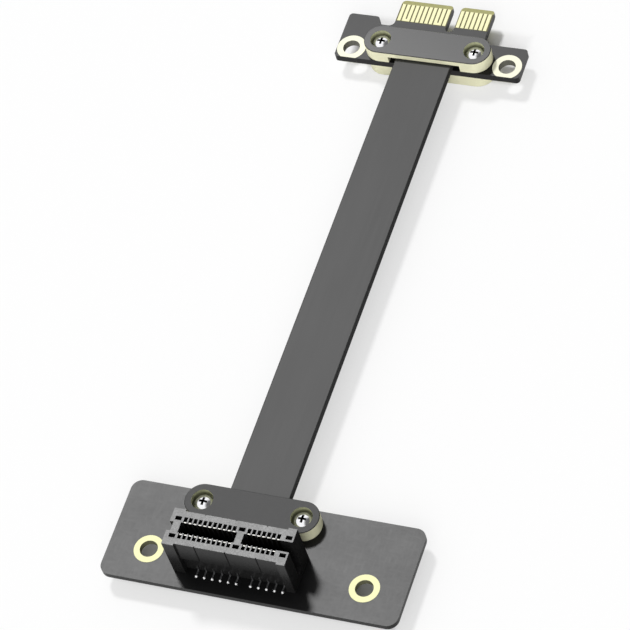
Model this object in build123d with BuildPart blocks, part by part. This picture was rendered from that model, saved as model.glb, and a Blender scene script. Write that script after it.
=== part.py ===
from build123d import *
import os

# Flat ribbon extension for a one-lane card-edge slot, in millimetres.
# +Z is up, +Y runs from the socket end to the plug end, and Z = 0 is the underside
# of the two lower clamps, which carry the cable when it lies on a bench.

# Overall
overall_length = 145.0
board_top = 4.6
cable_axis_x = -3.85

# Socket board
socket_board_width = 60.8
socket_board_depth = 21.4
socket_board_thickness = 1.2
socket_board_corner = 2.2
socket_hole_from_side = 8.3
socket_hole_from_front = 6.9

# Plug board
plug_board_thickness = 1.6
plug_board_offset = 0.1
plug_board_corner = 0.8
plug_board_depth = 16.8
left_wing_gap = 3.5
left_wing_depth = 11.5
right_wing_depth = 7.7
wing_notch_depth = 9.5
wing_notch_radius = 1.2
right_shoulder_radius = 2.0
plug_hole_from_side = 3.15
plug_hole_from_front = 2.65
plug_ring_clearance = 0.25

# Mounting holes with their plated eyelets
mount_hole_diameter = 3.6
plating_wall = 0.1
ring_thickness = 0.06
socket_ring_diameter = 6.0
plug_ring_diameter = 6.2

# Card edge that the plug board ends in
contact_pitch = 1.0
contacts_before_key = 11
contacts_after_key = 7
key_gap = 3.0
key_notch_width = 1.9
key_notch_depth = 7.1
key_notch_flat = 0.04
card_left_width = 11.2
card_right_width = 7.2
card_key_offset = 2.25
card_tip_corner = 0.8
card_bevel_length = 1.3
card_bevel_depth = 0.4
finger_width = 0.7
finger_length = 4.4
finger_thickness = 0.04
finger_bridge_length = 0.6
bridged_fingers = (1, 8)

# Socket housing
housing_left_margin = 3.0
housing_right_margin = 3.0
housing_depth = 8.0
housing_height = 10.2
housing_centre_x = -3.05
housing_setback = 3.3
left_foot_length = 2.4
right_foot_length = 1.75
panel_recess = 0.4
panel_height = 5.4
undercut_depth = 0.8
groove_count = 3
groove_spacing = 6.3
groove_width = 0.3
groove_depth = 0.15
slot_width = 2.2
slot_start = 2.3
slot_depth = 8.6
key_rib_width = 1.4
cavity_length = 0.72
cavity_depth = 0.85
cavity_wall = 0.4
core_length = 1.3
core_left_inset = 1.5
core_right_inset = 1.0
end_notch_depth = 0.8
end_notch_width = 2.0
peg_diameter = 1.6
peg_length = 1.0
peg_inset = 4.5
peg_clearance = 0.1

# Spring contacts and solder leads
contact_width = 0.5
contact_thickness = 0.2
contact_reach = 0.4
contact_root_gap = 0.1
contact_root_height = 2.0
contact_touch_depth = 3.2
contact_tip_length = 0.8
contact_tip_gap = 0.2
lead_pitch = 1.64
leads_left = 6
leads_right = 5
lead_key_gap = 2.93
first_lead_from_left = 4.75
lead_width = 0.3
lead_thickness = 0.2
lead_rise = 1.3
lead_reach = 0.3
solder_radius = 0.34
solder_height = 0.3
solder_taper = 28.0

# Clamps
clamp_width = 7.1
clamp_thickness = 3.0
clamp_screw_spacing = 20.5
clamp_edge_break = 0.12
counterbore_diameter = 4.4
counterbore_depth = 1.65
channel_height = 1.75
channel_wall = 0.2

# Clamp screws and nuts
screw_diameter = 1.9
screw_clearance = 0.15
head_diameter = 3.4
head_height = 1.15
head_crown = 0.45
head_crown_run = 0.7
recess_width = 0.5
recess_span = 1.9
recess_depth = 0.6
recess_taper = 12.0
nut_across_flats = 4.0
nut_thickness = 1.5
nut_clearance = 0.05
nut_lift = 0.3
thread_gap = 0.03

# Ribbon and its tinned wires
ribbon_width = 12.3
ribbon_thickness = 1.6
ribbon_edge_radius = 0.25
ribbon_entry = 4.6
wire_count = 18
wire_pitch = 0.64
wire_width = 0.3
wire_length = 1.7
wire_thickness = 0.14
wire_pad_thickness = 0.05
wire_pad_margin = 0.1

# Places that follow from the sizes above
socket_front_y = -overall_length / 2
socket_rear_y = socket_front_y + socket_board_depth
card_tip_y = overall_length / 2
socket_board_base = board_top - socket_board_thickness
plug_board_base = board_top - plug_board_thickness
socket_hole_y = socket_front_y + socket_hole_from_front
socket_hole_x = socket_board_width / 2 - socket_hole_from_side
plug_centre_x = cable_axis_x + plug_board_offset
plug_board_front = card_tip_y - plug_board_depth
plug_hole_y = plug_board_front + plug_hole_from_front
plug_hole_x = (clamp_screw_spacing + clamp_width + plug_ring_diameter) / 2 + plug_ring_clearance
plug_board_width = 2 * (plug_hole_x + plug_hole_from_side)
socket_clamp_y = socket_rear_y - clamp_width / 2
plug_clamp_y = plug_board_front + clamp_width / 2
clamp_top = board_top + clamp_thickness
channel_width = clamp_screw_spacing - counterbore_diameter - 2 * channel_wall
screw_hole_diameter = screw_diameter + 2 * screw_clearance
eyelet_bore = mount_hole_diameter + 2 * plating_wall
key_x = cable_axis_x + card_key_offset

before_key_length = (contacts_before_key - 1) * contact_pitch
after_key_length = (contacts_after_key - 1) * contact_pitch
housing_length = (housing_left_margin + before_key_length + key_gap + after_key_length
                  + housing_right_margin)
housing_left = housing_centre_x - housing_length / 2
housing_right = housing_left + housing_length
housing_front = socket_front_y + housing_setback
housing_mid_y = housing_front + housing_depth / 2
housing_top = board_top + housing_height
housing_key_x = housing_left + housing_left_margin + before_key_length + key_gap / 2
slot_floor = housing_top - slot_depth


def contact_places(key_centre):
    """X of each contact in a row, counted outwards from the key."""
    before = [key_centre - key_gap / 2 - i * contact_pitch for i in range(contacts_before_key)]
    after = [key_centre + key_gap / 2 + i * contact_pitch for i in range(contacts_after_key)]
    return sorted(before + after)


def lead_places():
    """X of each solder lead: two runs at one pitch, parted at the key."""
    first = housing_left + first_lead_from_left
    left = [first + i * lead_pitch for i in range(leads_left)]
    right = [left[-1] + lead_key_gap + i * lead_pitch for i in range(leads_right)]
    return left + right


def clamp_screw_places(clamp_y):
    """Centres of the two screws of a clamp."""
    half = clamp_screw_spacing / 2
    return [(cable_axis_x - half, clamp_y), (cable_axis_x + half, clamp_y)]


def save(part, name):
    """Label a finished piece and write its STEP file."""
    part.label = name
    export_step(part, f"parts/{name}.step")


os.makedirs("parts", exist_ok=True)
contact_xs = contact_places(housing_key_x)
finger_xs = contact_places(key_x)
lead_xs = lead_places()
socket_holes = [(-socket_hole_x, socket_hole_y), (socket_hole_x, socket_hole_y)]
plug_holes = [(plug_centre_x - plug_hole_x, plug_hole_y), (plug_centre_x + plug_hole_x, plug_hole_y)]
peg_places = [(housing_left + peg_inset, housing_mid_y), (housing_right - peg_inset, housing_mid_y)]

# Socket board
with BuildPart() as socket_board:
    with BuildSketch(Plane.XY.offset(socket_board_base)):
        with Locations((0, socket_front_y + socket_board_depth / 2)):
            RectangleRounded(socket_board_width, socket_board_depth, socket_board_corner)
        with Locations(*socket_holes):
            Circle(eyelet_bore / 2, mode=Mode.SUBTRACT)
        with Locations(*clamp_screw_places(socket_clamp_y)):
            Circle(screw_hole_diameter / 2, mode=Mode.SUBTRACT)
        with Locations(*peg_places):
            Circle(peg_diameter / 2 + peg_clearance, mode=Mode.SUBTRACT)
    extrude(amount=socket_board_thickness)
save(socket_board.part, "socket_board")

# Plug board with its keyed card edge
left_edge = plug_centre_x - plug_board_width / 2
right_edge = plug_centre_x + plug_board_width / 2
notch_left = key_x - key_notch_width / 2
notch_right = key_x + key_notch_width / 2
card_left = notch_left - card_left_width
card_right = notch_right + card_right_width
wing_inner = card_left - left_wing_gap
wing_notch_y = plug_board_front + wing_notch_depth
right_wing_y = plug_board_front + right_wing_depth
left_wing_y = plug_board_front + left_wing_depth
key_notch_y = card_tip_y - key_notch_depth
bevel_start_y = card_tip_y - card_bevel_length
notch_radius = (key_notch_width - key_notch_flat) / 2
outline = [
    (left_edge, plug_board_front, plug_board_corner),
    (left_edge, left_wing_y, plug_board_corner),
    (wing_inner, left_wing_y, plug_board_corner),
    (wing_inner, wing_notch_y, wing_notch_radius),
    (card_left, wing_notch_y, wing_notch_radius),
    (card_left, card_tip_y, card_tip_corner),
    (notch_left, card_tip_y, card_tip_corner),
    (notch_left, key_notch_y, notch_radius),
    (notch_right, key_notch_y, notch_radius),
    (notch_right, card_tip_y, card_tip_corner),
    (card_right, card_tip_y, card_tip_corner),
    (card_right, right_wing_y, right_shoulder_radius),
    (right_edge, right_wing_y, plug_board_corner),
    (right_edge, plug_board_front, plug_board_corner),
]
with BuildPart() as plug_board:
    with BuildSketch(Plane.XY.offset(plug_board_base)):
        with BuildLine():
            FilletPolyline(*[(x, y) for x, y, r in outline], radius=[r for x, y, r in outline], close=True)
        make_face()
        with Locations(*plug_holes):
            Circle(eyelet_bore / 2, mode=Mode.SUBTRACT)
        with Locations(*clamp_screw_places(plug_clamp_y)):
            Circle(screw_hole_diameter / 2, mode=Mode.SUBTRACT)
    extrude(amount=plug_board_thickness)
    # Lead-in bevels on both faces of the card edge
    with BuildSketch(Plane.YZ.offset(card_left)):
        for face_z, inward in ((board_top, -1), (plug_board_base, 1)):
            with BuildLine():
                Polyline((bevel_start_y, face_z), (card_tip_y, face_z),
                         (card_tip_y, face_z + inward * card_bevel_depth), close=True)
            make_face()
    extrude(amount=card_right - card_left, mode=Mode.SUBTRACT)
save(plug_board.part, "plug_board")


def finger_rows(face_z, amount, bridges=()):
    """Gilded contact fingers on one face; each bridge joins a finger to the next at the inner end."""
    inner_y = bevel_start_y - finger_length
    with BuildPart() as fingers:
        with BuildSketch(Plane.XY.offset(face_z)):
            with Locations(*[(x, bevel_start_y - finger_length / 2) for x in finger_xs]):
                Rectangle(finger_width, finger_length)
            for i in bridges:
                bridge_x = finger_xs[0] + (i + 0.5) * contact_pitch
                with Locations((bridge_x, inner_y + finger_bridge_length / 2)):
                    Rectangle(contact_pitch, finger_bridge_length)
        extrude(amount=amount)
    return fingers.part


save(finger_rows(board_top, finger_thickness, bridged_fingers), "plug_fingers_top")
save(finger_rows(plug_board_base, -finger_thickness), "plug_fingers_bottom")


def eyelets(places, board_base, ring_diameter, edge_y):
    """Plated mounting holes: a ring on each face joined by the plating in the bore."""
    board_thickness = board_top - board_base
    with BuildPart() as plated:
        with BuildSketch(Plane.XY.offset(board_base)):
            with Locations(*places):
                Circle(eyelet_bore / 2)
        extrude(amount=board_thickness)
        with BuildSketch(Plane.XY.offset(board_top), Plane.XY.offset(board_base - ring_thickness)):
            with Locations(*places):
                Circle(ring_diameter / 2)
        extrude(amount=ring_thickness)
        with BuildSketch(Plane.XY.offset(board_base - ring_thickness)):
            with Locations(*places):
                Circle(mount_hole_diameter / 2)
        extrude(amount=board_thickness + 2 * ring_thickness, mode=Mode.SUBTRACT)
        split(bisect_by=Plane((0, edge_y, 0), z_dir=(0, 1, 0)), keep=Keep.TOP)
    return plated.part


save(eyelets(socket_holes, socket_board_base, socket_ring_diameter, socket_front_y), "socket_eyelets")
save(eyelets(plug_holes, plug_board_base, plug_ring_diameter, plug_board_front), "plug_eyelets")

# Socket housing: an open-ended card slot between two rows of contact cavities
panel_length = housing_length - left_foot_length - right_foot_length
panel_centre_x = housing_left + left_foot_length + panel_length / 2
undercut_reach = panel_recess + undercut_depth
slot_length = housing_length - slot_start
pocket_reach = slot_width / 2 + cavity_wall + cavity_depth
core_xs = [housing_left + core_left_inset, housing_key_x, housing_right - core_right_inset]
core_y = slot_width / 2 + cavity_wall + cavity_depth / 2
with BuildPart() as socket_housing:
    with BuildSketch(Plane.XY.offset(board_top)):
        with Locations((housing_centre_x, housing_mid_y)):
            Rectangle(housing_length, housing_depth)
        with Locations((housing_left + end_notch_depth / 2, housing_mid_y)):
            Rectangle(end_notch_depth, end_notch_width, mode=Mode.SUBTRACT)
        # Long panels set back between the four corner feet, with shallow grooves
        for side in (-1, 1):
            with Locations((panel_centre_x, housing_mid_y + side * (housing_depth - panel_recess) / 2)):
                Rectangle(panel_length, panel_recess, mode=Mode.SUBTRACT)
            groove_y = housing_mid_y + side * (housing_depth / 2 - panel_recess - groove_depth / 2)
            with Locations((panel_centre_x, groove_y)):
                with GridLocations(groove_spacing, 0, groove_count, 1):
                    Rectangle(groove_width, groove_depth, mode=Mode.SUBTRACT)
    extrude(amount=housing_height)
    # Undercut below each panel, where the solder leads come out
    with BuildSketch(Plane.XY.offset(board_top)):
        for side in (-1, 1):
            with Locations((panel_centre_x, housing_mid_y + side * (housing_depth - undercut_reach) / 2)):
                Rectangle(panel_length, undercut_reach)
    extrude(amount=housing_height - panel_height, mode=Mode.SUBTRACT)
    # Card slot, open at the right-hand end, with its key rib left standing
    with BuildSketch(Plane.XY.offset(slot_floor)):
        with Locations((housing_right - slot_length / 2, housing_mid_y)):
            Rectangle(slot_length, slot_width)
        with Locations((housing_key_x, housing_mid_y)):
            Rectangle(key_rib_width, slot_width, mode=Mode.SUBTRACT)
    extrude(amount=slot_depth, mode=Mode.SUBTRACT)
    # Contact pockets across the slot, and coring pockets at the ends and the key
    with BuildSketch(Plane.XY.offset(slot_floor)):
        with Locations(*[(x, housing_mid_y) for x in contact_xs]):
            Rectangle(cavity_length, 2 * pocket_reach)
        with Locations(*[(x, housing_mid_y + side * core_y) for x in core_xs for side in (-1, 1)]):
            Rectangle(core_length, cavity_depth)
    extrude(amount=slot_depth, mode=Mode.SUBTRACT)
    # Two pegs that find the socket on its board
    with BuildSketch(Plane.XY.offset(board_top)):
        with Locations(*peg_places):
            Circle(peg_diameter / 2)
    extrude(amount=-peg_length)
save(socket_housing.part, "socket_housing")


def spring_contacts(side):
    """One row of bowed spring contacts, standing on the floor of their pockets."""
    root_y = housing_mid_y + side * (pocket_reach - contact_root_gap - contact_thickness / 2)
    touch_y = housing_mid_y + side * (slot_width / 2 - contact_reach + contact_thickness / 2)
    tip_y = housing_mid_y + side * (slot_width / 2 + cavity_wall / 2)
    with BuildPart() as contacts:
        with BuildSketch(*[Plane.YZ.offset(x - contact_width / 2) for x in contact_xs]):
            with BuildLine():
                Polyline((root_y, slot_floor), (root_y, slot_floor + contact_root_height),
                         (touch_y, housing_top - contact_touch_depth),
                         (tip_y, housing_top - contact_tip_length - contact_tip_gap),
                         (tip_y, housing_top - contact_tip_gap))
            trace(line_width=contact_thickness)
        extrude(amount=contact_width)
    return contacts.part


save(spring_contacts(-1), "front_contacts")
save(spring_contacts(1), "rear_contacts")


def solder_leads(side):
    """One row of solder leads: up against the housing, then out along the board."""
    wall_y = housing_mid_y + side * (housing_depth / 2 - undercut_reach + lead_thickness / 2)
    tip_y = housing_mid_y + side * (housing_depth / 2 + lead_reach)
    lead_z = board_top + lead_thickness / 2
    with BuildPart() as leads:
        with BuildSketch(*[Plane.YZ.offset(x - lead_width / 2) for x in lead_xs]):
            with BuildLine():
                Polyline((wall_y, board_top + lead_rise), (wall_y, lead_z), (tip_y, lead_z))
            trace(line_width=lead_thickness)
        extrude(amount=lead_width)
    return leads.part


def solder_joints(side):
    """A bead of solder round the tip of each lead, standing on the board."""
    tip_y = housing_mid_y + side * (housing_depth / 2 + lead_reach)
    with BuildPart() as beads:
        with BuildSketch(Plane.XY.offset(board_top)):
            with Locations(*[(x, tip_y) for x in lead_xs]):
                RegularPolygon(solder_radius, 8)
        extrude(amount=solder_height, taper=solder_taper)
        with BuildSketch(Plane.XY.offset(board_top)):
            with Locations(*[(x, tip_y - side * solder_radius / 2) for x in lead_xs]):
                Rectangle(lead_width, solder_radius)
        extrude(amount=lead_thickness, mode=Mode.SUBTRACT)
    return beads.part


save(solder_leads(-1), "front_leads")
save(solder_leads(1), "rear_leads")
save(solder_joints(-1), "front_solder_joints")
save(solder_joints(1), "rear_solder_joints")


def upper_clamp(clamp_y):
    """Clamp plate with a channel for the ribbon and a counterbore for each screw."""
    with BuildPart() as clamp:
        with BuildSketch(Plane.XY.offset(board_top)):
            with Locations((cable_axis_x, clamp_y)):
                SlotCenterToCenter(clamp_screw_spacing, clamp_width)
        extrude(amount=clamp_thickness)
        rim = clamp.faces().sort_by(Axis.Z)[-1].edges()
        chamfer(rim, clamp_edge_break)
        with BuildSketch(Plane.XY.offset(board_top)):
            with Locations((cable_axis_x, clamp_y)):
                Rectangle(channel_width, clamp_width)
        extrude(amount=channel_height, mode=Mode.SUBTRACT)
        with Locations(*[(x, y, clamp_top) for x, y in clamp_screw_places(clamp_y)]):
            CounterBoreHole(screw_hole_diameter / 2, counterbore_diameter / 2, counterbore_depth)
    return clamp.part


def lower_clamp(clamp_y, thickness):
    """Clamp plate under the board, with a hexagonal pocket for each nut."""
    with BuildPart() as clamp:
        with BuildSketch():
            with Locations((cable_axis_x, clamp_y)):
                SlotCenterToCenter(clamp_screw_spacing, clamp_width)
        extrude(amount=thickness)
        rim = clamp.faces().sort_by(Axis.Z)[0].edges()
        chamfer(rim, clamp_edge_break)
        with BuildSketch():
            with Locations(*clamp_screw_places(clamp_y)):
                RegularPolygon(nut_across_flats / 2 + nut_clearance, 6, major_radius=False)
        extrude(amount=nut_lift + nut_thickness, mode=Mode.SUBTRACT)
        with BuildSketch():
            with Locations(*clamp_screw_places(clamp_y)):
                Circle(screw_hole_diameter / 2)
        extrude(amount=thickness, mode=Mode.SUBTRACT)
    return clamp.part


def clamp_screws(clamp_y):
    """Two pan-head cross-recess screws, from their counterbores down to the nuts."""
    head_base = clamp_top - counterbore_depth
    with BuildPart() as screws:
        with BuildSketch(Plane.XY.offset(head_base)):
            with Locations(*clamp_screw_places(clamp_y)):
                Circle(head_diameter / 2)
        extrude(amount=head_height)
        for head in screws.faces().group_by(Axis.Z)[-1]:
            chamfer(head.edges(), head_crown_run, head_crown, reference=head)
        with BuildSketch(Plane.XY.offset(nut_lift)):
            with Locations(*clamp_screw_places(clamp_y)):
                Circle(screw_diameter / 2)
        extrude(amount=head_base - nut_lift)
        with BuildSketch(Plane.XY.offset(head_base + head_height)):
            with Locations(*clamp_screw_places(clamp_y)):
                Rectangle(recess_span, recess_width)
                Rectangle(recess_width, recess_span)
        extrude(amount=-recess_depth, taper=recess_taper, mode=Mode.SUBTRACT)
    return screws.part


def clamp_nuts(clamp_y):
    """Two hexagonal nuts in the pockets of the lower clamp."""
    with BuildPart() as nuts:
        with BuildSketch(Plane.XY.offset(nut_lift)):
            with Locations(*clamp_screw_places(clamp_y)):
                RegularPolygon(nut_across_flats / 2, 6, major_radius=False)
                Circle(screw_diameter / 2 + thread_gap, mode=Mode.SUBTRACT)
        extrude(amount=nut_thickness)
    return nuts.part


for end_name, end_clamp_y, end_board_base in (("socket", socket_clamp_y, socket_board_base),
                                              ("plug", plug_clamp_y, plug_board_base)):
    save(upper_clamp(end_clamp_y), f"{end_name}_upper_clamp")
    save(lower_clamp(end_clamp_y, end_board_base), f"{end_name}_lower_clamp")
    save(clamp_screws(end_clamp_y), f"{end_name}_clamp_screws")
    save(clamp_nuts(end_clamp_y), f"{end_name}_clamp_nuts")

# Ribbon: one straight flat run from channel to channel
ribbon_start_y = socket_rear_y - ribbon_entry
ribbon_end_y = plug_board_front + ribbon_entry
ribbon_length = ribbon_end_y - ribbon_start_y
with BuildPart() as ribbon:
    with BuildSketch(Plane.XZ.offset(-ribbon_start_y)):
        with Locations((cable_axis_x, board_top + ribbon_thickness / 2)):
            RectangleRounded(ribbon_width, ribbon_thickness, ribbon_edge_radius)
    extrude(amount=-ribbon_length)
save(ribbon.part, "ribbon")
print("ribbon length", ribbon_length, "of which in the open", plug_board_front - socket_rear_y)


def end_wires(ribbon_tip_y, outward):
    """Tinned wires that leave the ribbon's end and lie on their pads."""
    with BuildPart() as wires:
        with BuildSketch(Plane.XY.offset(board_top + wire_pad_thickness)):
            with Locations((cable_axis_x, ribbon_tip_y + outward * wire_length / 2)):
                with GridLocations(wire_pitch, 0, wire_count, 1):
                    Rectangle(wire_width, wire_length)
        extrude(amount=wire_thickness)
    return wires.part


def wire_pads(ribbon_tip_y, outward):
    """Solder pads on the board, one under each wire."""
    pad_length = wire_length - wire_pad_margin
    with BuildPart() as pads:
        with BuildSketch(Plane.XY.offset(board_top)):
            with Locations((cable_axis_x, ribbon_tip_y + outward * (wire_length - pad_length / 2))):
                with GridLocations(wire_pitch, 0, wire_count, 1):
                    Rectangle(wire_width + 2 * wire_pad_margin, pad_length)
        extrude(amount=wire_pad_thickness)
    return pads.part


save(end_wires(ribbon_start_y, -1), "socket_end_wires")
save(wire_pads(ribbon_start_y, -1), "socket_wire_pads")
save(end_wires(ribbon_end_y, 1), "plug_end_wires")
save(wire_pads(ribbon_end_y, 1), "plug_wire_pads")
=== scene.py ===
from math import asin, cos, pi, radians, sin

import bmesh
import bpy
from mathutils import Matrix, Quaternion, Vector


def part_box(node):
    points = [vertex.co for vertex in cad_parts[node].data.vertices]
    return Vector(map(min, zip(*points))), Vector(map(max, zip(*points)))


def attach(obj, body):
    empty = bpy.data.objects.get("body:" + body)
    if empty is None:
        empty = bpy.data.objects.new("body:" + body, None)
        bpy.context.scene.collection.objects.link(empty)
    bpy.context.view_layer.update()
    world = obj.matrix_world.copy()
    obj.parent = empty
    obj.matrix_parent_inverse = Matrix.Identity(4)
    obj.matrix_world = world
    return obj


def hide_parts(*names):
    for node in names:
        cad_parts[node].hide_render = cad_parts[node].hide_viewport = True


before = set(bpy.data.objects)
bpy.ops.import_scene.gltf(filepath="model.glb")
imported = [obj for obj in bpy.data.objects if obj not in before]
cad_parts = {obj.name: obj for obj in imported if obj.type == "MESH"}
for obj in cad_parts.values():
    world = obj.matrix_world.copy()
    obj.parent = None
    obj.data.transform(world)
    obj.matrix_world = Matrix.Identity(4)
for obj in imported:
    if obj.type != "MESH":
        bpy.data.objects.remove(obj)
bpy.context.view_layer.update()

bl_info = {
    "name": "Card-edge ribbon extension",
    "version": (1, 0, 0),
    "blender": (4, 5, 0),
    "location": "View3D > Sidebar > Ribbon extension",
    "description": "Finishes, ribbon, screws, solder and stage of a card-edge ribbon extension",
    "category": "Object",
}

MM = 0.001
BODY = "root"

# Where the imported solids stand, read from the frame
RIBBON_LOW, RIBBON_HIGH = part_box("ribbon")
FINGERS_LOW, FINGERS_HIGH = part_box("plug_fingers_top")

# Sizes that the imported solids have
HEAD_HEIGHT = 1.15 * MM
SHANK_RADIUS = 0.95 * MM
COUNTERBORE_RADIUS = 2.2 * MM
EYELET_BORE_RADIUS = 1.8 * MM

# Share of a face's normal along an axis, past which the face counts as square to it
SQUARE = 0.999


class Signal:
    """A shader socket. Arithmetic on it adds the Math nodes that do the same."""

    def __init__(self, nodes, socket):
        self.nodes = nodes
        self.socket = socket

    def math(self, operation, first, second=0.0):
        node = self.nodes.node("ShaderNodeMath", {"operation": operation}, {0: first, 1: second})
        return Signal(self.nodes, node.outputs[0])

    def __add__(self, other):
        return self.math("ADD", self, other)

    def __sub__(self, other):
        return self.math("SUBTRACT", self, other)

    def __mul__(self, other):
        return self.math("MULTIPLY", self, other)

    def __radd__(self, other):
        return self.math("ADD", other, self)

    def __rsub__(self, other):
        return self.math("SUBTRACT", other, self)

    def __rmul__(self, other):
        return self.math("MULTIPLY", other, self)

    def size(self):
        return self.math("ABSOLUTE", self)

    def larger(self, other):
        return self.math("MAXIMUM", self, other)

    def smaller(self, other):
        return self.math("MINIMUM", self, other)

    def from_point(self, other):
        """Distance from the origin of the point that has these two coordinates."""
        return self.math("SQRT", self * self + other * other)

    def above(self, edge, soft):
        """0 below the edge and 1 above it, with a soft step between."""
        node = self.nodes.node(
            "ShaderNodeMapRange", {"interpolation_type": "SMOOTHSTEP"},
            {"Value": self, "From Min": edge - soft, "From Max": edge + soft})
        return Signal(self.nodes, node.outputs["Result"])


class Nodes:
    """The nodes of a material or of the surroundings."""

    def __init__(self, owner):
        owner.use_nodes = True
        self.tree = owner.node_tree

    def node(self, kind, settings, values):
        """A node of this type: settings first, then a value or a link for each socket."""
        node = self.tree.nodes.new(kind)
        for key, value in settings.items():
            setattr(node, key, value)
        for key, value in values.items():
            if isinstance(value, Signal):
                self.tree.links.new(value.socket, node.inputs[key])
            else:
                node.inputs[key].default_value = value
        return node

    def signal(self, kind, output, **values):
        """One output of a new node that needs no settings."""
        return Signal(self, self.node(kind, {}, values).outputs[output])

    def seen_rays(self):
        """Masks of the rays that see straight or through clear matter, and of those in a sheen."""
        path = self.node("ShaderNodeLightPath", {}, {})
        camera, glossy, clear = (Signal(self, path.outputs[f"Is {kind} Ray"])
                                 for kind in ("Camera", "Glossy", "Transmission"))
        return camera.larger(clear), glossy


class Paint(Nodes):
    """One procedural material, built around a Principled shader."""

    def __init__(self, name, **constants):
        self.material = bpy.data.materials.new(name)
        super().__init__(self.material)
        self.shader = self.tree.nodes["Principled BSDF"]
        for key, value in constants.items():
            self.shader.inputs[key.replace("_", " ")].default_value = value

    def where(self):
        """The point being shaded, in the object's own metres."""
        return self.signal("ShaderNodeTexCoord", "Object")

    def axes(self, names="XYZ"):
        """These coordinates of the point being shaded."""
        node = self.node("ShaderNodeSeparateXYZ", {}, {"Vector": self.where()})
        return [Signal(self, node.outputs[name]) for name in names]

    def facing(self):
        """How far the surface faces up or down, from 0 to 1."""
        normal = self.signal("ShaderNodeNewGeometry", "True Normal")
        return self.signal("ShaderNodeSeparateXYZ", "Z", Vector=normal).size()

    def noise(self, size_mm, detail, stretch=(1.0, 1.0, 1.0)):
        """Noise from 0 to 1 with lumps of about this size, longer where the stretch is small."""
        place = self.signal("ShaderNodeMapping", "Vector", Vector=self.where(), Scale=stretch)
        return self.signal("ShaderNodeTexNoise", "Fac", Vector=place, Scale=1.0 / (size_mm * MM),
                           Detail=detail)

    def blend(self, factor, first, second):
        """One colour fading to another. Each is a signal, or its red, green and blue."""
        first, second = (colour if isinstance(colour, Signal) else (*colour, 1.0)
                         for colour in (first, second))
        node = self.node("ShaderNodeMix", {"data_type": "RGBA"},
                         {"Factor": factor, 6: first, 7: second})
        return Signal(self, node.outputs[2])

    def mottle(self, factor, tint, darkest, lightest=1.0):
        """A colour that varies between these two shares of itself."""
        return self.blend(factor, shade(tint, darkest), shade(tint, lightest))

    def mix(self, factor, first, second):
        """One shader fading to another."""
        node = self.node("ShaderNodeMixShader", {}, {0: factor, 1: first, 2: second})
        return Signal(self, node.outputs[0])

    def feed(self, name, signal):
        self.tree.links.new(signal.socket, self.shader.inputs[name])

    def roughen(self, middle, *swings):
        """Roughness that swings about a middle, by each spread, as its signal goes from 0 to 1."""
        for spread, signal in swings:
            middle = middle + spread * (signal - 0.5)
        self.feed("Roughness", middle)

    def relief(self, height, depth_mm, strength):
        """Bump whose height of 0 to 1 stands for this depth."""
        self.feed("Normal", self.signal("ShaderNodeBump", "Normal", Height=height,
                                        Distance=depth_mm * MM, Strength=strength))

    def cover(self, piece):
        """Make this the only finish of a piece."""
        piece.data.materials.clear()
        piece.data.materials.append(self.material)


def linear(red, green, blue):
    """A colour given as it looks on screen, from 0 to 255, as linear light."""
    def one(value):
        value /= 255.0
        return value / 12.92 if value <= 0.04045 else ((value + 0.055) / 1.055) ** 2.4
    return (one(red), one(green), one(blue))


def shade(tint, share):
    """A darker or lighter tone of a colour."""
    return tuple(min(1.0, value * share) for value in tint)


def wear(paint, *nodes):
    """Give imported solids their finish."""
    for node in nodes:
        paint.cover(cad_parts[node])


# Finishes

# Specular levels, of which 0.5 is a common plastic's
MASK_SPECULAR = 0.2
PLUG_CLAMP_SPECULAR = 0.29
NYLON_SPECULAR = 0.17
JACKET_SPECULAR = 0.42

# Roughness of cut laminate and of the ribbon's sides, and what bare laminate adds to the mask's
CUT_ROUGHNESS = 0.75
JACKET_SIDE_ROUGHNESS = 0.95
BARE_ADDS_ROUGHNESS = 0.1

# Pale gold, plated over a rough face
GOLD_POLISH = {"roughness": 0.60, "spread": 0.08, "grain_mm": 0.25, "metallic": 0.25}

# Bare laminate between the fingers: its own olive, darkened further as painted shade between the
# raised pads
FINGER_GAP_SHADE_COLOUR = linear(84, 80, 36)
BEVEL_COLOUR = linear(160, 158, 106)
# Contacts: dark bronze, and a painted highlight at their tips
DARK_BRONZE_COLOUR = (0.03, 0.025, 0.018)
TIP_HIGHLIGHT_COLOUR = (0.28, 0.275, 0.255)
STEEL_COLOURS = ((0.90, 0.90, 0.92), (0.97, 0.97, 1.0))
# Painted shade in the screws' cross recess
RECESS_SHADE_COLOUR = (0.010, 0.010, 0.010)
LEAD_COLOUR = (0.22, 0.22, 0.225)
NUT_COLOUR = (0.70, 0.70, 0.72)
SOLDER_COLOUR = (1.0, 1.0, 1.0)

# Share of its colour that is left to gold down a bore, and to laminate deep in a counterbore, as
# painted shade
BORE_SHADE = 0.22
DEEP_SHADE = 0.5

# Metal has clouds this many times the size of its grain
CLOUD_PER_GRAIN = 9.0


def laminate_edge(paint, tint):
    """Raw glass laminate: pale resin with fine plies that run along the sheet."""
    plies = paint.noise(0.9, detail=4.0, stretch=(1.0, 1.0, 9.0))
    blotches = paint.noise(1.6, detail=2.0)
    return paint.mottle(0.6 * plies + 0.4 * blotches, tint, 0.80, 1.12)


def cloth_weave(paint):
    """The faint weave of the glass cloth, raised a little through the solder mask."""
    warp, weft = (paint.noise(0.5, detail=2.0, stretch=stretch)
                  for stretch in ((1.0, 0.25, 1.0), (0.25, 1.0, 1.0)))
    weave = warp.smaller(weft)
    paint.relief(weave, depth_mm=0.006, strength=0.3)
    return weave


def socket_board_finish(look):
    """The socket board: dark solder mask with a soft sheen over the weave."""
    paint = Paint("socket_board_mask", Specular_IOR_Level=MASK_SPECULAR)
    weave = cloth_weave(paint)
    cloud = paint.noise(7.0, detail=3.0)
    paint.feed("Base Color", paint.mottle(cloud, look.mask_colour, 0.85, 1.15))
    paint.roughen(look.board_roughness, (0.05, weave), (0.04, cloud))
    return paint


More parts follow.
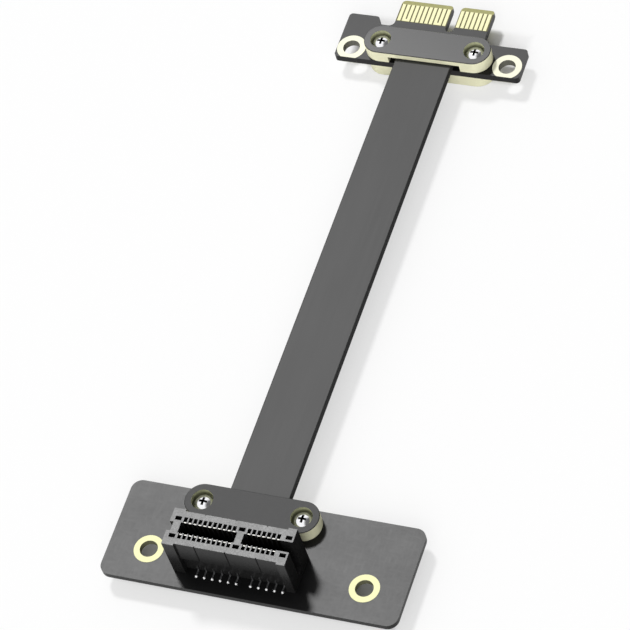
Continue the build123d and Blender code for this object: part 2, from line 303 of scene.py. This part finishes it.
def plug_board_finish(look):
    """The plug board: solder mask, with bare laminate between the fingers, darkened there by
    painted shade, and on the bevel.
    """
    paint = Paint("plug_board_mask", Specular_IOR_Level=MASK_SPECULAR)
    x, y = paint.axes("XY")
    weave = cloth_weave(paint)
    side_margin, root_margin, soft = 1.5 * MM, 0.1 * MM, 0.05 * MM
    card = x.above(FINGERS_LOW.x - side_margin, soft) * y.above(FINGERS_LOW.y - root_margin, soft)
    bare = card * paint.facing().above(0.3, 0.1)
    bevel = y.above(FINGERS_HIGH.y + soft, soft)
    # A hair of the clamps' paler laminate shows along the ridge between face and bevel
    ridge = paint.blend(1.0 - bevel, laminate_edge(paint, look.laminate_colour), FINGER_GAP_SHADE_COLOUR)
    bare_face = paint.blend(bevel, ridge, laminate_edge(paint, BEVEL_COLOUR))
    paint.feed("Base Color", paint.blend(bare, look.mask_colour, bare_face))
    paint.roughen(look.plug_board_roughness + BARE_ADDS_ROUGHNESS * bare, (0.05, weave))
    return paint


def clamp_finish(node, look, roughness, specular):
    """A clamp plate: dark faces, raw laminate on every cut wall, and painted shade on the
    counterbore walls, darker towards their floor.
    """
    low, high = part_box(node)
    paint = Paint(f"{node}_laminate", Specular_IOR_Level=specular)
    x, y, z = paint.axes()
    skin_depth, skin_soft = 0.2 * MM, 0.02 * MM
    near_top = z.above(high.z - skin_depth, skin_soft)
    near_bottom = 1.0 - z.above(low.z + skin_depth, skin_soft)
    skin = paint.facing().above(0.5, 0.03) * (near_top + near_bottom)
    # The plate's round ends are centred on its screws
    middle = (low + high) / 2
    screw_reach = (high.x - low.x - (high.y - low.y)) / 2
    from_screw = ((x - middle.x).size() - screw_reach).from_point(y - middle.y)
    wall_margin, wall_soft = 0.2 * MM, 0.1 * MM
    outside = from_screw.above(COUNTERBORE_RADIUS + wall_margin, wall_soft)
    mouth_depth, mouth_soft = 0.75 * MM, 0.35 * MM
    near_mouth = z.above(high.z - mouth_depth, mouth_soft)
    # Painted shade: the counterbore walls are darker, and darker again below the mouth
    deep = shade(look.counterbore_shade_colour, DEEP_SHADE)
    shaded_bore_wall = paint.blend(near_mouth, deep, laminate_edge(paint, look.counterbore_shade_colour))
    laminate = paint.blend(outside, shaded_bore_wall, laminate_edge(paint, look.laminate_colour))
    paint.feed("Base Color", paint.blend(skin, laminate, look.mask_colour))
    grain = paint.noise(0.35, detail=3.0)
    paint.roughen(roughness * skin + CUT_ROUGHNESS * (1.0 - skin), (0.04, grain))
    paint.relief(grain, depth_mm=0.006, strength=0.25)
    return paint


def nylon_finish(look):
    """Moulded socket plastic: black, with a fine spark-eroded grain."""
    paint = Paint("socket_nylon", Specular_IOR_Level=NYLON_SPECULAR)
    grain = paint.noise(0.16, detail=4.0)
    cloud = paint.noise(3.0, detail=2.0)
    paint.feed("Base Color", paint.mottle(grain, look.nylon_colour, 0.75, 1.25))
    paint.roughen(look.nylon_roughness, (0.14, grain), (0.04, cloud))
    paint.relief(grain, depth_mm=0.012, strength=0.2)
    return paint


def plated_metal(name, roughness, spread, grain_mm, metallic):
    """Metal with small changes of polish. Its colour is still to be fed."""
    paint = Paint(name, Metallic=metallic)
    grain = paint.noise(grain_mm, detail=3.0)
    cloud = paint.noise(grain_mm * CLOUD_PER_GRAIN, detail=2.0)
    paint.roughen(roughness, (spread, grain), (0.5 * spread, cloud))
    paint.relief(grain, depth_mm=0.004, strength=0.2)
    return paint


def metal_finish(name, tint, roughness, spread, grain_mm, metallic=1.0):
    """A plated metal with small changes of tone and polish."""
    paint = plated_metal(name, roughness, spread, grain_mm, metallic)
    cloud = paint.noise(grain_mm * CLOUD_PER_GRAIN, detail=2.0)
    paint.feed("Base Color", paint.mottle(cloud, tint, 0.9))
    return paint


def eyelet_finish(node, tint):
    """Gold rings, with painted shade on the plating down the bore."""
    (first_low, first_high), (last_low, last_high) = solid_boxes(node)
    ring_radius = (first_high.x - first_low.x) / 2
    middle_x = (first_low.x + last_high.x) / 2
    middle_y = first_high.y - ring_radius
    hole_reach = (last_low.x - first_low.x) / 2
    paint = plated_metal(f"{node}_plating", **GOLD_POLISH)
    x, y = paint.axes("XY")
    from_hole = ((x - middle_x).size() - hole_reach).from_point(y - middle_y)
    wall_margin, wall_soft = 0.15 * MM, 0.03 * MM
    inside = 1.0 - from_hole.above(EYELET_BORE_RADIUS + wall_margin, wall_soft)
    # Painted shade: the gold down the bore is darkened
    bore = inside * (1.0 - paint.facing().above(0.5, 0.2))
    rings = paint.mottle(paint.noise(1.2, detail=2.0), tint, 0.93)
    paint.feed("Base Color", paint.blend(bore, rings, shade(tint, BORE_SHADE)))
    return paint


def contact_finish(tip):
    """Spring contacts: dark bronze, with a painted highlight on the tips at the top."""
    paint = Paint("contact_bronze")
    (z,) = paint.axes("Z")
    tip_length, tip_soft, tip_metallic = 0.12 * MM, 0.06 * MM, 0.3
    # Painted highlight on the tips of the contacts
    tip_highlight = z.above(tip - tip_length, tip_soft)
    grain = paint.noise(0.2, detail=3.0)
    paint.feed("Base Color", paint.blend(tip_highlight, DARK_BRONZE_COLOUR, TIP_HIGHLIGHT_COLOUR))
    paint.feed("Metallic", 1.0 - (1.0 - tip_metallic) * tip_highlight)
    paint.roughen(0.40, (0.1, grain))
    paint.relief(grain, depth_mm=0.004, strength=0.2)
    return paint


def screw_finish(form, spots, head_base):
    """Nickel-plated steel, with painted shade in black in the cross recess."""
    paint = plated_metal("screw_steel", roughness=0.12, spread=0.05, grain_mm=0.3, metallic=0.95)
    x, y, z = paint.axes()
    middle = (spots[0] + spots[1]) / 2
    across = ((x - middle.x).size() - (spots[1].x - spots[0].x) / 2).size()
    along = (y - middle.y).size()
    reach, width, soft = form.recess_span / 2, form.recess_width / 2, 0.02 * MM
    bar = (1.0 - across.above(reach, soft)) * (1.0 - along.above(width, soft))
    cross_bar = (1.0 - across.above(width, soft)) * (1.0 - along.above(reach, soft))
    # Painted shade: the cross recess is black
    recess = bar.larger(cross_bar) * z.above(head_base, soft)
    steel = paint.blend(paint.noise(0.6, detail=2.0), *STEEL_COLOURS)
    paint.feed("Base Color", paint.blend(recess, steel, RECESS_SHADE_COLOUR))
    return paint


def jacket_finish(look):
    """The ribbon's jacket: smooth dark film over a faint run of flat wires."""
    paint = Paint("ribbon_jacket", Specular_IOR_Level=JACKET_SPECULAR)
    streaks = paint.noise(0.7, detail=3.0, stretch=(1.0, 0.03, 1.0))
    cloud = paint.noise(9.0, detail=2.0, stretch=(1.0, 0.4, 1.0))
    paint.feed("Base Color", paint.mottle(cloud, look.jacket_colour, 0.9, 1.1))
    sides = 1.0 - paint.facing().above(0.5, 0.3)
    sheen = look.jacket_roughness + (JACKET_SIDE_ROUGHNESS - look.jacket_roughness) * sides
    paint.roughen(sheen, (0.03, streaks), (0.03, cloud))
    paint.relief(streaks, depth_mm=0.01, strength=0.25)
    return paint


# Modelling helpers

def select(*pieces):
    """Select just these pieces, the first of them active."""
    bpy.ops.object.select_all(action="DESELECT")
    for piece in pieces:
        piece.select_set(True)
    bpy.context.view_layer.objects.active = pieces[0]


def start_mesh(name, add, **options):
    """Add a primitive with nothing else selected, and name it."""
    bpy.ops.object.select_all(action="DESELECT")
    add(**options)
    made = bpy.context.object
    made.name = name
    made.data.name = name
    return made


def pick(piece, kind, test):
    """In edit mode, select only the verts, edges or faces that pass the test."""
    bpy.ops.mesh.select_all(action="DESELECT")
    mesh = bmesh.from_edit_mesh(piece.data)
    for item in getattr(mesh, kind):
        if test(item):
            item.select_set(True)
    bmesh.update_edit_mesh(piece.data)


def long_edge(axis, length):
    """A test for edges that run more than half this length along an axis."""
    def test(edge):
        first, second = (vertex.co[axis] for vertex in edge.verts)
        return abs(first - second) > length / 2
    return test


def combine(piece, other, operation):
    """Join the other piece to this one or cut it out of this one, and remove it."""
    modifier = piece.modifiers.new("combine", "BOOLEAN")
    modifier.object = other
    modifier.operation = operation
    modifier.solver = "EXACT"
    select(piece)
    bpy.ops.object.modifier_apply(modifier=modifier.name)
    bpy.data.objects.remove(other)


def settle(piece):
    """Put the piece's place into its mesh, and leave its object at the origin."""
    select(piece)
    bpy.ops.object.transform_apply(location=True, rotation=True, scale=True)


def spread_copies(piece, places):
    """One mesh that holds a copy of the piece at each place."""
    parts = []
    for spot in places:
        copy = piece.copy()
        copy.data = piece.data.copy()
        copy.location = spot
        bpy.context.scene.collection.objects.link(copy)
        parts.append(copy)
    bpy.data.objects.remove(piece)
    select(*parts)
    bpy.ops.object.join()
    joined = bpy.context.object
    settle(joined)
    return joined


def finish_piece(piece, name, paint, nodes):
    """Name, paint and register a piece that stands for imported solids."""
    piece.name = name
    paint.cover(piece)
    select(piece)
    bpy.ops.object.shade_smooth_by_angle(angle=radians(35))
    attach(piece, BODY)
    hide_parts(*nodes)


def solid_boxes(node):
    """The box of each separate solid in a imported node, found from its loose parts."""
    weld = 0.0005 * MM
    mesh = bmesh.new()
    mesh.from_mesh(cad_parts[node].data)
    bmesh.ops.remove_doubles(mesh, verts=mesh.verts, dist=weld)
    left = set(mesh.verts)
    boxes = []
    while left:
        queue = [left.pop()]
        found = []
        while queue:
            vertex = queue.pop()
            found.append(vertex.co.copy())
            for edge in vertex.link_edges:
                other = edge.other_vert(vertex)
                if other in left:
                    left.remove(other)
                    queue.append(other)
        low = Vector([min(point[i] for point in found) for i in range(3)])
        high = Vector([max(point[i] for point in found) for i in range(3)])
        boxes.append((low, high))
    mesh.free()
    return sorted(boxes, key=lambda box: tuple(box[0]))


def on_axis(box, height):
    """The point at this height on the upright line through the middle of a box."""
    low, high = box
    return Vector(((low.x + high.x) / 2, (low.y + high.y) / 2, height))


# Sizes and colours that a user can change

def colour_prop(name, description, default):
    return bpy.props.FloatVectorProperty(
        name=name, description=description, subtype="COLOR", default=default, min=0.0, max=1.0)


def share_prop(name, description, default, low=0.0, high=1.0):
    return bpy.props.FloatProperty(
        name=name, description=description, default=default, min=low, max=high)


def length_prop(name, description, default, low, high):
    """A length, given here in millimetres."""
    return bpy.props.FloatProperty(
        name=name, description=description, default=default * MM, min=low * MM, max=high * MM,
        unit="LENGTH", precision=5)


def number_prop(name, description, default):
    return bpy.props.FloatProperty(name=name, description=description, default=default)


def vector_prop(name, description, default, subtype):
    return bpy.props.FloatVectorProperty(
        name=name, description=description, subtype=subtype, default=default)


class LookSettings(bpy.types.PropertyGroup):
    """Colours and polish of the finishes."""
    mask_colour: colour_prop(
        "Solder mask", "Dark mask on boards and clamp faces", (0.004, 0.004, 0.0042))
    laminate_colour: colour_prop(
        "Laminate", "Raw glass laminate on cut edges", linear(242, 240, 206))
    # Painted shade on the counterbore walls
    counterbore_shade_colour: colour_prop(
        "Bored laminate", "Laminate on the walls of the counterbores", linear(176, 178, 142))
    nylon_colour: colour_prop(
        "Socket plastic", "Moulded plastic of the socket", (0.012, 0.012, 0.012))
    jacket_colour: colour_prop("Ribbon jacket", "Film round the ribbon", (0.010, 0.010, 0.010))
    gold_colour: colour_prop("Gold plating", "Fingers and wire pads", (0.70, 0.68, 0.41))
    socket_ring_colour: colour_prop(
        "Socket eyelets", "Gold of the socket board's rings", (0.67, 0.665, 0.38))
    plug_ring_colour: colour_prop(
        "Plug eyelets", "Paler gold of the plug board's rings", (0.68, 0.675, 0.54))
    board_roughness: share_prop("Socket board roughness", "Sheen of the socket board", 0.36)
    plug_board_roughness: share_prop("Plug board roughness", "Sheen of the plug board", 0.353)
    socket_clamp_roughness: share_prop(
        "Socket clamp roughness", "Sheen of the socket end's clamp faces", 0.43)
    plug_clamp_roughness: share_prop(
        "Plug clamp roughness", "Sheen of the plug end's clamp faces", 0.29)
    nylon_roughness: share_prop("Socket roughness", "Sheen of the socket plastic", 0.285)
    jacket_roughness: share_prop("Jacket roughness", "Sheen of the ribbon's flat faces", 0.52)


class RibbonSettings(bpy.types.PropertyGroup):
    """Form of the flat ribbon."""
    edge_radius: length_prop("Edge radius", "Rounding of the ribbon's long edges", 0.22, 0.05, 0.6)
    flat_margin: length_prop(
        "Flat margin", "Band beside each rounded edge that keeps the faces flat", 0.05, 0.01, 0.3)


class ScrewSettings(bpy.types.PropertyGroup):
    """Form of the clamp screws."""
    dome: length_prop("Dome", "Height of the head's crown", 0.50, 0.0, 1.0)
    recess_span: length_prop("Recess span", "Tip to tip of the cross recess", 1.7, 0.5, 3.0)
    recess_width: length_prop("Recess width", "Width of each arm of the cross", 0.5, 0.1, 1.0)
    thread_pitch: length_prop("Thread pitch", "Rise of the thread in one turn", 0.4, 0.2, 1.0)


class SolderSettings(bpy.types.PropertyGroup):
    """Form of the solder beads."""
    bead_share: share_prop(
        "Bead", "Radius of the bead, as a share of the packed joint's", 0.74, 0.4, 0.86)
    bead_flare: share_prop(
        "Flare", "How far the bead's foot spreads on the board", 1.16, 1.0, 1.3)


class StageSettings(bpy.types.PropertyGroup):
    """Camera, lamps and floor."""
    camera_place: vector_prop(
        "Camera", "Where the camera stands", (0.22797, -0.34587, 0.55301), "TRANSLATION")
    camera_aim: vector_prop(
        "Aim", "The point that the camera looks at", (-0.00709, -0.00789, 0.00454), "TRANSLATION")
    camera_roll: bpy.props.FloatProperty(
        name="Roll", description="Turn of the camera about its own axis", subtype="ANGLE",
        default=radians(20.2))
    lens: number_prop("Lens", "Focal length in millimetres", 197.85)
    key_power: number_prop("Key", "Strength of the key lamp", 2.0)
    front_power: number_prop("Front", "Strength of the front lamp", 1.25)
    fill_power: number_prop("Fill", "Strength of the surrounding light", 0.66)
    dark_side: share_prop("Dark side", "How much darker the studio is on that side", 0.90)
    dark_side_towards: vector_prop(
        "Dark side towards", "Direction of the studio's dark side", (0.75, 0.20, 0.63), "DIRECTION")
    dark_side_edge: share_prop(
        "Dark side edge", "Cosine of the half angle of the dark side", 0.70, low=-1.0)
    floor_glow: share_prop(
        "Floor glow", "How far the floor whitens for the camera, over its shadows", 0.6)
    floor_colour: colour_prop("Floor", "Colour of the floor", (0.80, 0.80, 0.80))


# One operator for each piece or group of like pieces

class EXTENSION_OT_finishes(bpy.types.Operator):
    """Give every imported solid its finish"""
    bl_idname = "extension.finishes"
    bl_label = "Finishes"

    def execute(self, context):
        look = context.scene.extension_look
        wear(socket_board_finish(look), "socket_board")
        wear(plug_board_finish(look), "plug_board")
        for end, roughness, specular in (
                ("socket", look.socket_clamp_roughness, MASK_SPECULAR),
                ("plug", look.plug_clamp_roughness, PLUG_CLAMP_SPECULAR)):
            for level in ("upper", "lower"):
                node = f"{end}_{level}_clamp"
                wear(clamp_finish(node, look, roughness, specular), node)
        wear(nylon_finish(look), "socket_housing")
        wear(metal_finish("gold_plating", look.gold_colour, **GOLD_POLISH),
             "plug_fingers_top", "plug_fingers_bottom", "socket_wire_pads", "plug_wire_pads")
        wear(eyelet_finish("socket_eyelets", look.socket_ring_colour), "socket_eyelets")
        wear(eyelet_finish("plug_eyelets", look.plug_ring_colour), "plug_eyelets")
        wear(contact_finish(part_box("front_contacts")[1].z), "front_contacts", "rear_contacts")
        wear(metal_finish("lead_tin", LEAD_COLOUR, roughness=0.42, spread=0.12, grain_mm=0.15),
             "front_leads", "rear_leads", "socket_end_wires", "plug_end_wires")
        wear(metal_finish("nut_steel", NUT_COLOUR, roughness=0.36, spread=0.1, grain_mm=0.2),
             "socket_clamp_nuts", "plug_clamp_nuts")
        return {"FINISHED"}


class EXTENSION_OT_ribbon(bpy.types.Operator):
    """Lay the flat ribbon straight from clamp to clamp"""
    bl_idname = "extension.ribbon"
    bl_label = "Ribbon"

    def execute(self, context):
        form = context.scene.extension_ribbon
        look = context.scene.extension_look
        size = RIBBON_HIGH - RIBBON_LOW
        centre = (RIBBON_LOW + RIBBON_HIGH) / 2
        ribbon = start_mesh("ribbon_run", bpy.ops.mesh.primitive_cube_add,
                            size=1.0, location=centre, scale=size)
        settle(ribbon)
        bpy.ops.object.mode_set(mode="EDIT")
        pick(ribbon, "edges", long_edge(1, size.y))
        bpy.ops.mesh.bevel(offset=form.edge_radius, segments=4, affect="EDGES")
        for axis in (0, 2):
            pick(ribbon, "faces", lambda face: abs(face.normal[axis]) > SQUARE)
            bpy.ops.mesh.inset(thickness=form.flat_margin, depth=0.0)
        bpy.ops.object.mode_set(mode="OBJECT")
        finish_piece(ribbon, "ribbon_run", jacket_finish(look), ["ribbon"])
        return {"FINISHED"}


class EXTENSION_OT_screws(bpy.types.Operator):
    """Turn the four cross-recess clamp screws"""
    bl_idname = "extension.screws"
    bl_label = "Clamp screws"

    def execute(self, context):
        form = context.scene.extension_screws
        for end in ("socket", "plug"):
            node = f"{end}_clamp_screws"
            boxes = solid_boxes(node)
            spots = [on_axis(box, 0.0) for box in boxes]
            group = spread_copies(self.one_screw(form, *boxes[0]), spots)
            steel = screw_finish(form, spots, boxes[0][1].z - HEAD_HEIGHT)
            finish_piece(group, f"{end}_screws", steel, [node])
        return {"FINISHED"}

    def one_screw(self, form, low, high):
        """A pan head with a cross recess, on a threaded shank, standing on the Z axis."""
        radius = (high.x - low.x) / 2
        base = high.z - HEAD_HEIGHT
        rim = high.z - form.dome
        sides = 64
        head = start_mesh("head", bpy.ops.mesh.primitive_cylinder_add, vertices=sides,
                          radius=radius, depth=rim - base, location=(0, 0, (rim + base) / 2),
                          end_fill_type="NGON")
        settle(head)
        self.crown(head, radius, form.dome, sides)
        combine(head, self.recess(form, high.z), "DIFFERENCE")
        select(head, self.thread(form, low.z, base))
        bpy.ops.object.join()
        return head

    def crown(self, head, radius, dome, sides):
        """Raise the head's flat top to a part of a ball, ring by ring."""
        ball_radius = (radius ** 2 + dome ** 2) / (2 * dome)
        slope = asin(radius / ball_radius)
        levels = 9
        # The last ring stays half a step off the pole, so that the top closes with a small flat
        slopes = [slope * (1 - step / (levels + 0.5)) for step in range(levels + 1)]
        bpy.ops.object.mode_set(mode="EDIT")
        for outer, inner in zip(slopes, slopes[1:]):
            pick(head, "faces", lambda face: len(face.verts) == sides and face.normal.z > SQUARE)
            rise = ball_radius * (cos(inner) - cos(outer))
            bpy.ops.mesh.extrude_region_move(TRANSFORM_OT_translate={"value": (0, 0, rise)})
            shrink = sin(inner) / sin(outer)
            bpy.ops.transform.resize(value=(shrink, shrink, 1.0), center_override=(0, 0, 0))
        bpy.ops.object.mode_set(mode="OBJECT")

    def recess(self, form, top):
        """The cross-shaped cutter: two bars, wide at the mouth and narrow at the root."""
        height, root_share = 1.5 * MM, 0.6
        bars = []
        for width, depth in ((form.recess_span, form.recess_width),
                             (form.recess_width, form.recess_span)):
            bar = start_mesh("bar", bpy.ops.mesh.primitive_cube_add, size=1.0,
                             location=(0, 0, top), scale=(width, depth, height))
            settle(bar)
            bpy.ops.object.mode_set(mode="EDIT")
            pick(bar, "faces", lambda face: face.normal.z < -SQUARE)
            bpy.ops.transform.resize(value=(root_share, root_share, 1.0),
                                     center_override=(0, 0, top))
            bpy.ops.object.mode_set(mode="OBJECT")
            bars.append(bar)
        combine(*bars, "UNION")
        return bars[0]

    def thread(self, form, bottom, top):
        """The shank: a rod whose skin winds in and out with the thread's pitch."""
        around, rows_per_turn = 24, 6
        groove_depth, plain_end = 0.13 * MM, 0.05 * MM
        pitch = form.thread_pitch
        rows = int((top - bottom) / pitch * rows_per_turn)
        rod = start_mesh("shank", bpy.ops.mesh.primitive_cylinder_add, vertices=around,
                         radius=SHANK_RADIUS, depth=top - bottom,
                         location=(0, 0, (top + bottom) / 2), end_fill_type="NGON")
        settle(rod)
        bpy.ops.object.mode_set(mode="EDIT")
        pick(rod, "edges", long_edge(2, top - bottom))
        bpy.ops.mesh.subdivide(number_cuts=rows)
        bpy.ops.object.mode_set(mode="OBJECT")
        for vertex in rod.data.vertices:
            if bottom + plain_end < vertex.co.z < top - plain_end:
                turn = vertex.co.to_2d().angle_signed(Vector((1.0, 0.0))) / (2 * pi)
                phase = (vertex.co.z / pitch + turn) % 1.0
                cut = groove_depth * abs(2 * phase - 1.0)
                vertex.co.x *= (SHANK_RADIUS - cut) / SHANK_RADIUS
                vertex.co.y *= (SHANK_RADIUS - cut) / SHANK_RADIUS
        return rod


class EXTENSION_OT_solder(bpy.types.Operator):
    """Flow a bead of solder round each lead's tip"""
    bl_idname = "extension.solder"
    bl_label = "Solder beads"

    def execute(self, context):
        form = context.scene.extension_solder
        solder = metal_finish("solder", SOLDER_COLOUR, roughness=0.28, spread=0.08, grain_mm=0.12,
                              metallic=0.6)
        for row in ("front", "rear"):
            node = f"{row}_solder_joints"
            boxes = solid_boxes(node)
            spots = [on_axis(box, box[0].z) for box in boxes]
            group = spread_copies(self.one_bead(form, *boxes[0]), spots)
            finish_piece(group, f"{row}_solder_beads", solder, [node])
        return {"FINISHED"}

    def one_bead(self, form, low, high):
        """Half a ball on a flat foot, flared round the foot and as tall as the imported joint."""
        radius = (high.x - low.x) / 2 * form.bead_share
        bead = start_mesh("bead", bpy.ops.mesh.primitive_uv_sphere_add, segments=20, ring_count=12,
                          radius=radius, location=(0, 0, 0))
        under_foot = -0.001 * MM
        bpy.ops.object.mode_set(mode="EDIT")
        pick(bead, "verts", lambda vertex: vertex.co.z < under_foot)
        bpy.ops.mesh.delete(type="VERT")
        pick(bead, "edges", lambda edge: edge.is_boundary)
        bpy.ops.mesh.edge_face_add()
        bpy.ops.transform.resize(value=(form.bead_flare, form.bead_flare, 1.0),
                                 center_override=(0, 0, 0))
        # A point in the middle makes the foot fall into the same triangles on every run
        bpy.ops.mesh.poke()
        bpy.ops.object.mode_set(mode="OBJECT")
        bead.scale = (1.0, 1.0, (high.z - low.z) / radius)
        settle(bead)
        return bead


class EXTENSION_OT_stage(bpy.types.Operator):
    """Set the floor, the lamps and the camera"""
    bl_idname = "extension.stage"
    bl_label = "Stage"

    def execute(self, context):
        stage = context.scene.extension_stage
        context.scene.view_settings.view_transform = "Standard"
        self.camera(context, stage)
        self.lamps(context, stage)
        self.surroundings(context, stage)
        self.floor(stage)
        return {"FINISHED"}

    def camera(self, context, stage):
        """A long lens at the photo's angle, rolled as in the photo."""
        data = bpy.data.cameras.new("camera")
        data.lens = stage.lens
        data.clip_start, data.clip_end = 0.01, 20.0
        camera = bpy.data.objects.new("camera", data)
        context.scene.collection.objects.link(camera)
        camera.location = stage.camera_place
        towards = Vector(stage.camera_aim) - Vector(stage.camera_place)
        level = towards.to_track_quat("-Z", "Y")
        camera.rotation_mode = "QUATERNION"
        camera.rotation_quaternion = level @ Quaternion((0, 0, 1), -stage.camera_roll)
        context.scene.camera = camera

    def lamps(self, context, stage):
        """A small key lamp high at the back left, and a broad soft one at the front right."""
        for name, power, width_degrees, along in (
                ("key", stage.key_power, 9, (0.42, -0.50, -1.0)),
                ("front", stage.front_power, 50, (-0.35, 1.0, -0.75))):
            data = bpy.data.lights.new(name, "SUN")
            data.energy = power
            data.angle = radians(width_degrees)
            lamp = bpy.data.objects.new(name, data)
            context.scene.collection.objects.link(lamp)
            lamp.rotation_mode = "QUATERNION"
            lamp.rotation_quaternion = Vector(along).to_track_quat("-Z", "Y")

    def surroundings(self, context, stage):
        """Even light from all round, darker on one side. The camera itself sees plain white."""
        world = bpy.data.worlds.new("surroundings")
        context.scene.world = world
        sky = Nodes(world)
        seen, glossy = sky.seen_rays()
        towards = sky.signal("ShaderNodeTexCoord", "Generated")
        side = Vector(stage.dark_side_towards).normalized()
        dot = sky.node("ShaderNodeVectorMath", {"operation": "DOT_PRODUCT"}, {0: towards, 1: side})
        edge_soft = 0.12
        near_side = Signal(sky, dot.outputs["Value"]).above(stage.dark_side_edge, edge_soft)
        # Shiny surfaces mirror a studio of full strength, and matt ones are lit by the fill
        full = stage.fill_power + glossy * (1.0 - stage.fill_power)
        strength = (1.0 - near_side * stage.dark_side) * full
        light = sky.tree.nodes["Background"]
        light.inputs["Color"].default_value = (1.0, 1.0, 1.0, 1.0)
        sky.tree.links.new(strength.larger(seen).socket, light.inputs["Strength"])

    def floor(self, stage):
        """A white floor that glows for the camera, but not in the shade under the boards."""
        floor = start_mesh("floor", bpy.ops.mesh.primitive_plane_add, size=6.0, location=(0, 0, 0))
        paint = Paint("floor", Roughness=0.9, Specular_IOR_Level=0.1)
        cloud = paint.noise(60.0, detail=2.0)
        paint.feed("Base Color", paint.mottle(cloud, stage.floor_colour, 0.995))
        seen, glossy = paint.seen_rays()
        open_floor = 1.0 - self.under_boards(paint)
        lit = Signal(paint, paint.shader.outputs["BSDF"])
        glow = paint.signal("ShaderNodeEmission", "Emission", Color=(1.0, 1.0, 1.0, 1.0))
        white = paint.mix(seen.larger(glossy) * open_floor * stage.floor_glow, lit, glow)
        # From below the floor is clear, so that the underside can be looked at
        from_below = paint.signal("ShaderNodeNewGeometry", "Backfacing")
        clear = paint.signal("ShaderNodeBsdfTransparent", "BSDF")
        surface = paint.mix(from_below, white, clear)
        paint.tree.links.new(surface.socket, paint.tree.nodes["Material Output"].inputs["Surface"])
        paint.cover(floor)

    def under_boards(self, paint):
        """1 on the floor well under each board, where the shadow shows through the holes."""
        x, y = paint.axes("XY")
        inset, soft = 2.0 * MM, 1.0 * MM
        under = []
        for node in ("socket_board", "plug_board"):
            low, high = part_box(node)
            middle, reach = (low + high) / 2, (high - low) / 2
            across = (x - middle.x).size().above(reach.x - inset, soft)
            along = (y - middle.y).size().above(reach.y - inset, soft)
            under.append(1.0 - across.larger(along))
        return under[0].larger(under[1])


class EXTENSION_PT_panel(bpy.types.Panel):
    """The extension's sizes, colours and steps"""
    bl_label = "Ribbon extension"
    bl_idname = "EXTENSION_PT_panel"
    bl_space_type = "VIEW_3D"
    bl_region_type = "UI"
    bl_category = "Ribbon extension"

    def draw(self, context):
        scene = context.scene
        for name in GROUPS:
            group = getattr(scene, name)
            box = self.layout.box()
            for key in group.bl_rna.properties.keys():
                if key not in ("rna_type", "name"):
                    box.prop(group, key)
        for step in STEPS:
            self.layout.operator(step.bl_idname)


GROUPS = {
    "extension_look": LookSettings,
    "extension_ribbon": RibbonSettings,
    "extension_screws": ScrewSettings,
    "extension_solder": SolderSettings,
    "extension_stage": StageSettings,
}
STEPS = (EXTENSION_OT_stage, EXTENSION_OT_finishes, EXTENSION_OT_ribbon, EXTENSION_OT_screws,
         EXTENSION_OT_solder)
CLASSES = (*GROUPS.values(), *STEPS, EXTENSION_PT_panel)


def register():
    for item in CLASSES:
        bpy.utils.register_class(item)
    for name, group in GROUPS.items():
        setattr(bpy.types.Scene, name, bpy.props.PointerProperty(type=group))


def unregister():
    for name in GROUPS:
        delattr(bpy.types.Scene, name)
    for item in reversed(CLASSES):
        bpy.utils.unregister_class(item)


def main():
    register()
    for step in STEPS:
        family, name = step.bl_idname.split(".")
        getattr(getattr(bpy.ops, family), name)()


if __name__ == "__main__":
    main()
